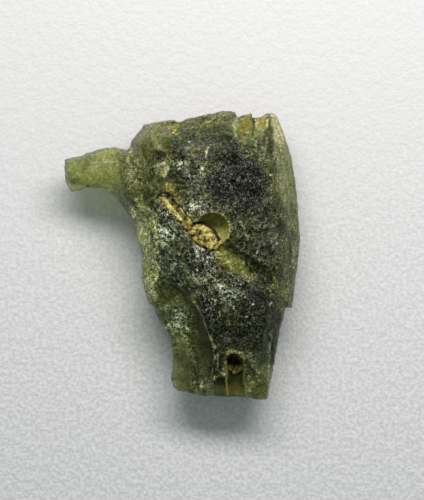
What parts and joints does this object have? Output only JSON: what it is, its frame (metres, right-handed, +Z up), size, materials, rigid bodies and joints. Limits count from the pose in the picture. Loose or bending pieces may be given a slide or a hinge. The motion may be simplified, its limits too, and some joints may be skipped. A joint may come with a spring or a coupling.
{
  "type": "raw moldavite",
  "caption": "Raw etched tektite glass stone, flattened, with a rounded side spout, open clay-filled bubble and crack, bubble channels and a flaked scoop; rests on its flat side.",
  "frame": {"origin": "under the middle of the stone's bounding box, on the surface that it rests on", "axes": "+Y along the stone to its blunt, scalloped end, +X away from the side spout, +Z up from the side that it rests on"},
  "size_m": [0.0246, 0.03, 0.0094],
  "materials": {
    "tektite_glass": "olive green natural glass, etched and frosted outside, clear inside",
    "dried_clay": "dry, crumbly ochre clay"
  },
  "bodies": {
    "root": {"moldavite": "tektite_glass", "clay_fill": "dried_clay"}
  },
  "joints": []
}
